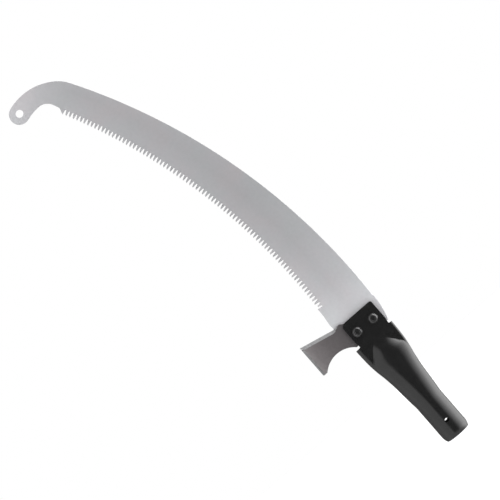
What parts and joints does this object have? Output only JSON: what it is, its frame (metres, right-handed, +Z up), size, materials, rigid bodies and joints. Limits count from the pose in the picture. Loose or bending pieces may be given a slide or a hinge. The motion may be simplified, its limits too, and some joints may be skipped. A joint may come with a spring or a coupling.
{
  "type": "pole saw head",
  "caption": "Head of a telescoping pole saw: black tube socket pressed into two leaves that clamp a long curved hooked pruning blade and a short undercut knife.",
  "frame": {"origin": "centre of the socket's mouth, in the plane of its rim, where the pole enters", "axes": "+Z runs up the socket towards the blade; the blade lies in the XZ plane with its teeth, hook and undercut knife towards -X; the screw heads face -Y and the nuts +Y"},
  "size_m": [0.1694, 0.032, 0.5751],
  "materials": {
    "socket": "gloss black paint on steel tube",
    "saw_blade": "satin plated sheet steel with ground teeth",
    "undercut_knife": "dark hardened steel with ground bevels",
    "screws": "black oxide",
    "washers": "zinc plated",
    "nuts": "zinc plated",
    "nut_inserts": "natural nylon"
  },
  "bodies": {
    "root": {"socket": "socket", "saw_blade": "saw_blade", "undercut_knife": "undercut_knife", "screw_left": "screws", "screw_right": "screws", "washer_left": "washers", "washer_right": "washers", "nut_left": "nuts", "nut_right": "nuts", "nut_insert_left": "nut_inserts", "nut_insert_right": "nut_inserts"}
  },
  "joints": []
}
